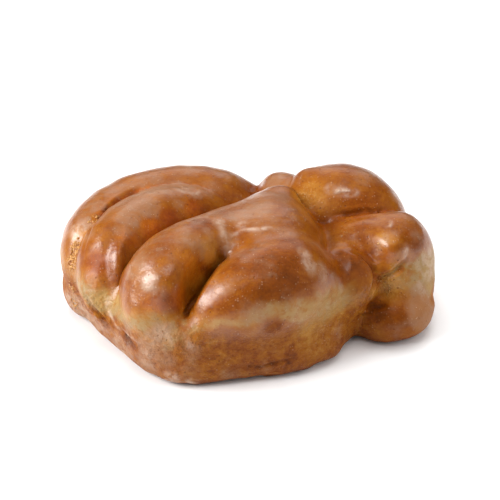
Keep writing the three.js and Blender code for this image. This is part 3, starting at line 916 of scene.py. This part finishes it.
# %% Helpers for wiring
def node(tree, kind, inputs=(), **settings):
    made = tree.nodes.new("ShaderNode" + kind)
    for name, value in settings.items():
        setattr(made, name, value)
    for name, value in dict(inputs).items():
        if isinstance(value, bpy.types.NodeSocket):
            tree.links.new(value, made.inputs[name])
        else:
            made.inputs[name].default_value = value
    return made


def mixed(tree, amount, first, second, blend="MIX"):
    """The first colour, with an amount of the second over it."""
    return node(tree, "Mix", {0: amount, 6: first, 7: second}, data_type="RGBA",
                blend_type=blend).outputs[2]


def calc(tree, operation, *values, clamp=False):
    return node(tree, "Math", dict(enumerate(values)), operation=operation,
                use_clamp=clamp).outputs[0]


def times(tree, first, second):
    return calc(tree, "MULTIPLY", first, second)


def plus(tree, value, pattern, amount):
    """A value, and an amount of a pattern added to it."""
    return calc(tree, "MULTIPLY_ADD", pattern, amount, value)


def about_zero(tree, pattern):
    """A noise that swings around 0 instead of a half."""
    return calc(tree, "SUBTRACT", pattern, 0.5)


def varied(tree, value, pattern, amount):
    """A value that a noise pushes up and down."""
    return plus(tree, value, about_zero(tree, pattern), amount)


def spread(tree, value, low, high, to_low=0.0, to_high=1.0):
    """Takes low to to_low and high to to_high, with a smooth S between."""
    inputs = {0: value, 1: low, 2: high, 3: to_low, 4: to_high}
    return node(tree, "MapRange", inputs, interpolation_type="SMOOTHSTEP").outputs[0]


def noise_at(tree, place, scale, detail=3.0, roughness=0.5):
    inputs = {"Vector": place, "Scale": scale, "Detail": detail, "Roughness": roughness}
    return node(tree, "TexNoise", inputs).outputs["Fac"]


def specks(tree, place, scale, size, where):
    """Scattered dots of mixed sizes, up to a share of the space between them, in some places."""
    cells = node(tree, "TexVoronoi", {"Vector": place, "Scale": scale})
    chosen = node(tree, "SeparateColor", {0: cells.outputs["Color"]})
    reach = spread(tree, chosen.outputs[0], 0.4, 1.0, 0.0, size)
    outside = calc(tree, "SUBTRACT", cells.outputs["Distance"], reach)
    return times(tree, spread(tree, outside, -0.1, 0.02, 1.0, 0.0), where)


def mark(tree, name):
    """A number that was kept on the skin's points."""
    return node(tree, "Attribute", attribute_name=name).outputs["Fac"]


def bumped(tree, height, distance):
    return node(tree, "Bump", {"Height": height, "Distance": distance}).outputs["Normal"]


def rgb(red, green, blue):
    return (red, green, blue, 1.0)


def new_material(name, constants):
    """A new material with its shader's constants set, its nodes, its shader and its coordinates."""
    material = bpy.data.materials.new(name)
    material.use_nodes = True
    tree = material.node_tree
    shader = tree.nodes["Principled BSDF"]
    for socket, value in constants.items():
        shader.inputs[socket].default_value = value
    return material, tree, shader, node(tree, "TexCoord").outputs["Object"]


# %% [markdown]
# ## How crust browns
# Fried crust runs from straw through gold and orange-brown to a dark, nearly burnt brown, and
# does so in blotches. Both the skin and the loose crumbs need that, so it is a node group with
# one input, how browned a place is, and one output, the colour. On the skin the input also holds
# painted shade, so the dark end of the ramp stands for shade as well as for burnt crust. A group
# holds only colours and values here, and each material keeps its own shader.

# %% The browning group
BROWNING = [
    # how browned, on the skin together with its painted shade, and the colour there
    (0.0, rgb(0.42, 0.185, 0.03)),
    (0.3, rgb(0.31, 0.096, 0.004)),
    (0.55, rgb(0.21, 0.047, 0.001)),
    (0.8, rgb(0.115, 0.024, 0.001)),
    (1.0, rgb(0.045, 0.01, 0.001)),
]
BLOTCH_SCALE = 170
BLOTCH_CONTRAST = 0.55


def make_browning():
    group = bpy.data.node_groups.new("browning", "ShaderNodeTree")
    group.interface.new_socket("Browned_and_shaded", in_out="INPUT", socket_type="NodeSocketFloat")
    group.interface.new_socket("Color", in_out="OUTPUT", socket_type="NodeSocketColor")
    start = group.nodes.new("NodeGroupInput")
    end = group.nodes.new("NodeGroupOutput")
    place = node(group, "TexCoord").outputs["Object"]
    blotches = noise_at(group, place, BLOTCH_SCALE, 4, 0.6)
    uneven = varied(group, start.outputs[0], blotches, BLOTCH_CONTRAST)
    colours = node(group, "ValToRGB", {"Fac": uneven})
    stops = colours.color_ramp.elements
    while len(stops) < len(BROWNING):
        stops.new(0.5)
    for stop, (position, colour) in zip(stops, BROWNING):
        stop.position = position
        stop.color = colour
    group.links.new(colours.outputs["Color"], end.inputs[0])
    return group


def crust_colour(tree, browned_and_shaded):
    """The colour of crust that is so far browned; on the skin the value also holds painted shade.
    """
    crust = node(tree, "Group", node_tree=browning)
    tree.links.new(browned_and_shaded, crust.inputs["Browned_and_shaded"])
    return crust.outputs["Color"]


browning = make_browning()
print("the browning group has", len(browning.nodes), "nodes")


# %% [markdown]
# ## The glazed crust
# The finish is built in the order in which it came about: the crust and the pale dough, the film
# of glaze over them, and the gloss. A texture for each layer could be painted by hand instead,
# but noise has no seams and stays as fine however near one looks. A few noises of different
# sizes serve all the layers, so that the layers belong together.

# %% The noises that all layers read
BROAD, MIDDLE, GRIT, FINE = 95, 420, 1350, 1500
WRINKLE, STREAK = 520, 700
STREAK_TURN = 0.95


def noises(tree, place):
    """All the noises, by name. Streaks keep off the wall, and wall wrinkles keep to it."""
    flat = node(tree, "Mapping", {"Vector": place, "Scale": (0.85, 0.85, 1.0)}).outputs["Vector"]
    turned = {"Vector": place, "Rotation": (0, 0, STREAK_TURN), "Scale": (0.3, 1, 0.6)}
    lengthways = node(tree, "Mapping", turned).outputs["Vector"]
    wrinkles = noise_at(tree, flat, WRINKLE, 4, 0.65)
    streaks = noise_at(tree, lengthways, STREAK, 3, 0.6)
    off_wall = calc(tree, "SUBTRACT", 1.0, mark(tree, "wall"))
    return {
        "broad": noise_at(tree, place, BROAD, 3, 0.55),
        "middle": noise_at(tree, place, MIDDLE, 4, 0.6),
        "grit": noise_at(tree, place, GRIT, 2, 0.55),
        "fine": noise_at(tree, place, FINE, 3, 0.6),
        "wrinkles": wrinkles,
        "wall wrinkles": times(tree, about_zero(tree, wrinkles), mark(tree, "wall")),
        "streaks": times(tree, about_zero(tree, streaks), off_wall),
    }


# %% [markdown]
# ## Crust and dough
# The crust is browned by blotches and streaks, and most unevenly on the wall, where the wrinkles
# are also painted lighter on their crests and darker in their hollows, as painted shade. It is
# more orange where glaze pooled, which is partly a painted glow, and where it is rough it has
# golden grains with dark veins between them. The pale line is dough that hardly touched the oil,
# and it is frayed at its edges, because a clean edge would look painted.

# %% Crust and dough
POOLED_AND_GLOW_TINT = rgb(1.3, 1.0, 0.5)
DOUGH_YELLOW, DOUGH_GREY = rgb(0.36, 0.205, 0.062), rgb(0.305, 0.19, 0.075)
DOUGH_STAIN = rgb(0.31, 0.13, 0.02)
GRAIN_GOLD, VEIN_TINT = rgb(0.6, 0.32, 0.11), rgb(0.6, 0.42, 0.25)


def crust_and_dough(tree, noise_of):
    """The colour, how browned it is together with its painted shade, and where grains stand out."""
    middle, wrinkles = noise_of["middle"], noise_of["wrinkles"]
    browned_and_shaded = varied(tree, mark(tree, "browned_and_shaded"), middle, 0.3)
    browned_and_shaded = varied(tree, browned_and_shaded, noise_of["fine"], 0.3)
    browned_and_shaded = plus(tree, browned_and_shaded, noise_of["streaks"], 0.3)
    # painted shade: the wall is lighter where its wrinkles stand out and darker in their hollows
    browned_and_shaded = plus(tree, browned_and_shaded, noise_of["wall wrinkles"], -0.9)
    colour = crust_colour(tree, browned_and_shaded)
    # more orange where glaze pooled, partly a painted glow of light through the dough
    colour = mixed(tree, mark(tree, "pooled_and_glow"), colour, POOLED_AND_GLOW_TINT, "MULTIPLY")

    ragged = varied(tree, mark(tree, "pale"), middle, 0.8)
    ragged = varied(tree, ragged, wrinkles, -0.6)
    dough = mixed(tree, spread(tree, noise_of["broad"], 0.4, 0.62), DOUGH_YELLOW, DOUGH_GREY)
    dough = mixed(tree, spread(tree, wrinkles, 0.48, 0.66, 0.0, 0.85), dough, DOUGH_STAIN)
    colour = mixed(tree, spread(tree, ragged, 0.1, 0.95), colour, dough)

    rough_here = spread(tree, varied(tree, mark(tree, "rough"), middle, 0.5), 0.2, 0.9)
    grain = times(tree, spread(tree, noise_of["grit"], 0.5, 0.66), rough_here)
    vein = times(tree, spread(tree, noise_of["grit"], 0.48, 0.36), rough_here)
    colour = mixed(tree, times(tree, grain, 0.9), colour, GRAIN_GOLD)
    colour = mixed(tree, times(tree, vein, 0.5), colour, VEIN_TINT, "MULTIPLY")
    return colour, browned_and_shaded, grain


# %% [markdown]
# ## Film and bubbles
# The film of sugar is thick in some places and worn through in others, and thinner where the
# crust browned more. It hides little of the crust, so it is a mix with a milky brown and not
# with white, and it carries the painted sheen of the tops too. White sugar goes over it where the
# glaze ran and at a few painted highlights, then light dots for the tiny bubbles of air that were
# caught in it, which also stand for their glints, and the pores where others burst.

# %% Film and bubbles
THIN_MILK_AND_SHEEN, THICK_MILK_AND_SHEEN = rgb(0.31, 0.142, 0.066), rgb(0.32, 0.165, 0.09)
MOST_FILM_AND_SHEEN = 0.74
SUGAR_AND_HIGHLIGHT_WHITE = rgb(0.58, 0.43, 0.33)
BUBBLES, PORES = 1500, 820
BUBBLE_AND_GLINT_LIGHT, PORE_DARK = rgb(0.62, 0.38, 0.22), rgb(0.12, 0.024, 0.004)


def glaze_over(tree, place, noise_of, colour, browned_and_shaded):
    """The colour with the film and its painted sheen over it, and where film, bubbles and pores
    are.
    """
    middle = noise_of["middle"]
    patchy = calc(tree, "MULTIPLY_ADD", mark(tree, "film_and_sheen"), 1.33, -0.33)
    patchy = varied(tree, patchy, noise_of["broad"], 1.4)
    patchy = varied(tree, patchy, middle, 0.7)
    patchy = plus(tree, patchy, noise_of["streaks"], 0.7)
    patchy = plus(tree, patchy, calc(tree, "SUBTRACT", browned_and_shaded, 0.45), -0.6)
    film_and_sheen = spread(tree, patchy, 0.25, 1.0, 0.0, MOST_FILM_AND_SHEEN)
    # the milky colour of the film, and of the painted sheen on the tops
    milk_and_sheen = mixed(tree, spread(tree, middle, 0.4, 0.65), THIN_MILK_AND_SHEEN, THICK_MILK_AND_SHEEN)
    colour = mixed(tree, film_and_sheen, colour, milk_and_sheen)
    # white glaze, and painted highlights where the spots put them
    sugar = times(tree, mark(tree, "sugar"), spread(tree, middle, 0.35, 0.6, 0.1, 0.7))
    colour = mixed(tree, sugar, colour, SUGAR_AND_HIGHLIGHT_WHITE)

    bubble = specks(tree, place, BUBBLES, 0.42, spread(tree, middle, 0.45, 0.62))
    # light dots of trapped air, which also stand for their glints: partly painted glints
    colour = mixed(tree, times(tree, bubble, 0.25), colour, BUBBLE_AND_GLINT_LIGHT)
    pore = specks(tree, place, PORES, 0.28, spread(tree, middle, 0.56, 0.44))
    colour = mixed(tree, times(tree, pore, 0.6), colour, PORE_DARK)
    return colour, film_and_sheen, bubble, pore


# %% [markdown]
# ## Gloss and fine relief
# The shader is a Principled BSDF with a coat for the glaze and a little light passing under the
# surface, as in all dough. The coat is weaker and the crust rougher where the glaze dried dull.
# The fine relief sums what was made above. The coat doesn't follow the bump of the crust by
# itself, so it gets a gentler one of its own.

# %% The glazed crust
CRUST = {
    "Coat Roughness": 0.28,
    "Coat IOR": 1.55,
    "IOR": 1.45,
    "Specular IOR Level": 0.2,
    "Specular Tint": rgb(1.0, 0.75, 0.5),
    "Subsurface Weight": 0.12,
    "Subsurface Radius": (1.0, 0.45, 0.2),
    "Subsurface Scale": 2 * MM,
}
CRUST_BUMP, GLAZE_BUMP = 0.3 * MM, 0.11 * MM


def make_crust():
    material, tree, shader, place = new_material("glazed_crust", CRUST)
    noise_of = noises(tree, place)
    colour, browned_and_shaded, grain = crust_and_dough(tree, noise_of)
    colour, film_and_sheen, bubble, pore = glaze_over(tree, place, noise_of, colour, browned_and_shaded)
    tree.links.new(colour, shader.inputs["Base Color"])

    gloss = calc(tree, "MULTIPLY_ADD", noise_of["middle"], 0.2, 0.3)
    tree.links.new(plus(tree, gloss, mark(tree, "dull"), 0.3), shader.inputs["Roughness"])
    coat = calc(tree, "MULTIPLY_ADD", mark(tree, "dull"), -0.85, 1.0, clamp=True)
    tree.links.new(coat, shader.inputs["Coat Weight"])

    relief = plus(tree, times(tree, noise_of["middle"], 0.8), noise_of["fine"], 0.35)
    parts = [(bubble, 0.25), (pore, -0.3), (grain, 1.2), (film_and_sheen, 0.25),
             (noise_of["streaks"], 0.25), (noise_of["wall wrinkles"], 4.5)]
    for pattern, amount in parts:
        relief = plus(tree, relief, pattern, amount)
    tree.links.new(bumped(tree, relief, CRUST_BUMP), shader.inputs["Normal"])
    tree.links.new(bumped(tree, relief, GLAZE_BUMP), shader.inputs["Coat Normal"])
    print("the glazed crust has", len(tree.nodes), "nodes")
    return material


skin.data.materials.clear()
skin.data.materials.append(make_crust())


# %% [markdown]
# ## Crumbs and flecks
# Where two fingers tore apart while they rose, the crust is rough, and crumbs of it stand out
# like gravel. On the tops, crystals and tiny blisters of sugar catch the light. A pattern in the
# material can only hint at them, and it never breaks the outline, so the larger ones are real
# lumps: balls of twenty faces, flattened, turned and dented at random, and set where the numbers
# kept on the skin say that such things gather. All crumbs are one piece and all flecks another.

# %% Scattering small lumps
def scatter(name, count, sizes, flat, weights, seed):
    """Sets many small lumps of one kind on the skin, and joins them in one piece."""
    dice = random.Random(seed)
    heap = bmesh.new()
    for index in dice.choices(range(len(points)), weights=weights.tolist(), k=count):
        outward = Vector(normals[index])
        size = dice.uniform(*sizes) * MM
        place = Vector(points[index]) + outward.orthogonal() * dice.uniform(-0.3, 0.3) * MM
        place += outward * size * flat * dice.uniform(-0.6, 0.3)
        turn = Quaternion(outward, dice.uniform(0, math.tau)) @ outward.to_track_quat("Z", "Y")
        shape = Vector((size, size * dice.uniform(0.55, 1), size * flat))
        matrix = Matrix.LocRotScale(place, turn, shape)
        lump = bmesh.ops.create_icosphere(heap, subdivisions=1, radius=1, matrix=matrix)
        for vertex in lump["verts"]:
            vertex.co = place.lerp(vertex.co, dice.uniform(0.75, 1.25))
            vertex.co.z = max(vertex.co.z, CAD_LOW.z)
    piece = add_shape(name, heap)
    piece.data.shade_smooth()
    print(name, "has", count, "lumps and", len(piece.data.polygons), "faces")
    return piece


CRUMBS, CRUMB_SIZES, CRUMB_FLATNESS = 230, (0.18, 0.55), 0.55
FLECKS, FLECK_SIZES, FLECK_FLATNESS = 420, (0.06, 0.13), 0.5

crumbs = scatter("crust_crumbs", CRUMBS, CRUMB_SIZES, CRUMB_FLATNESS, rough * torn ** 2, 3)
tops = np.clip(film_and_sheen, 0, 1) * ramp(normals[:, 2], 0.2, 0.7)
flecks = scatter("sugar_flecks", FLECKS, FLECK_SIZES, FLECK_FLATNESS, tops + 0.05, 4)


# %% What they are made of
CRUMB = {"Roughness": 0.45, "Coat Weight": 0.8, "Coat Roughness": 0.25, "Specular IOR Level": 0.3}
SUGAR = {
    "Subsurface Weight": 0.2,
    "Subsurface Radius": (1.0, 0.7, 0.5),
    "Subsurface Scale": 0.5 * MM,
}
TOASTED = rgb(0.56, 0.27, 0.07)
SUGAR_BROWN, SUGAR_PALE = rgb(0.5, 0.3, 0.16), rgb(0.62, 0.45, 0.32)


def make_crumb_crust():
    material, tree, shader, place = new_material("crumb_crust", CRUMB)
    patches = noise_at(tree, place, 600, 3)
    colour = crust_colour(tree, calc(tree, "MULTIPLY_ADD", patches, 1.0, -0.4))
    colour = mixed(tree, spread(tree, patches, 0.65, 0.4, 0.0, 0.7), colour, TOASTED)
    tree.links.new(colour, shader.inputs["Base Color"])
    relief = bumped(tree, noise_at(tree, place, 2500, 3), 0.1 * MM)
    tree.links.new(relief, shader.inputs["Normal"])
    return material


def make_dry_sugar():
    material, tree, shader, place = new_material("dry_sugar", SUGAR)
    patches = noise_at(tree, place, 900, 2)
    colour = mixed(tree, spread(tree, patches, 0.4, 0.6), SUGAR_BROWN, SUGAR_PALE)
    tree.links.new(colour, shader.inputs["Base Color"])
    tree.links.new(calc(tree, "MULTIPLY_ADD", patches, 0.3, 0.2), shader.inputs["Roughness"])
    return material


crumbs.data.materials.append(make_crumb_crust())
flecks.data.materials.append(make_dry_sugar())
for piece in (crumbs, flecks):
    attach(piece, "root")
    print(piece.name, "is made of", piece.data.materials[0].name)


# %% [markdown]
# ## The light
# A glazed thing shows its lamps, so there are few to see: one big soft box at the left, which
# draws the long highlights of the fingers, a small one above the front and a weak one behind.
# The broad fills overhead and at the right, and the white room, light the crust but are hidden
# from its gloss, because their reflections would veil its colour with a grey haze.

# %% The light
LAMPS = [
    # name, place, width and depth in metres, power in watts, and whether gloss shows it
    ("key", (-0.48, -0.12, 0.33), 0.38, 0.3, 4.8, True),
    ("top lamp", (0.0, -0.2, 0.72), 0.25, 0.12, 0.5, True),
    ("back lamp", (0.05, 0.6, 0.4), 0.5, 0.35, 0.6, True),
    ("overhead fill", (0.05, 0.25, 0.72), 0.7, 0.6, 4.2, False),
    ("right fill", (0.5, -0.1, 0.35), 0.6, 0.5, 1.6, False),
]
ROOM_STRENGTH = 0.25

for name, place, width, depth, power, shows in LAMPS:
    lamp = bpy.data.lights.new(name, "AREA")
    lamp.shape = "RECTANGLE"
    lamp.size = width
    lamp.size_y = depth
    lamp.energy = power
    box = add(name, lamp)
    box.location = place
    box.rotation_euler = (Vector(place) - at(0, 0, 0.5)).to_track_quat("Z", "Y").to_euler()
    box.visible_glossy = shows

room = bpy.data.worlds.new("room")
room.use_nodes = True
walls = room.node_tree.nodes["Background"]
walls.inputs["Color"].default_value = rgb(1, 1, 1)
walls.inputs["Strength"].default_value = ROOM_STRENGTH
room.cycles_visibility.glossy = False
bpy.context.scene.world = room
bpy.context.scene.view_settings.view_transform = "Standard"
print("lit by", len(LAMPS), "lamps and a white room")


# %% [markdown]
# ## The floor
# The fritter lies on a plain white table. One flat sheet is enough, wide enough that its edge is
# out of sight from low down, and it catches the soft shadow.

# %% The floor
FLOOR_REACH = 4
FLOOR_WHITE = rgb(0.97, 0.97, 0.97)

sheet = bmesh.new()
bmesh.ops.create_grid(sheet, x_segments=1, y_segments=1, size=FLOOR_REACH)
floor = add_shape("floor", sheet)
floor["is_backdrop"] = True
paint = bpy.data.materials.new("floor")
paint.use_nodes = True
paint.node_tree.nodes["Principled BSDF"].inputs["Base Color"].default_value = FLOOR_WHITE
floor.data.materials.append(paint)
print("the floor reaches", FLOOR_REACH, "m to each side")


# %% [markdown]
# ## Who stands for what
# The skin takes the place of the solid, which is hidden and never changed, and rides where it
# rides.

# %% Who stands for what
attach(skin, "root")
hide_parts("fritter")
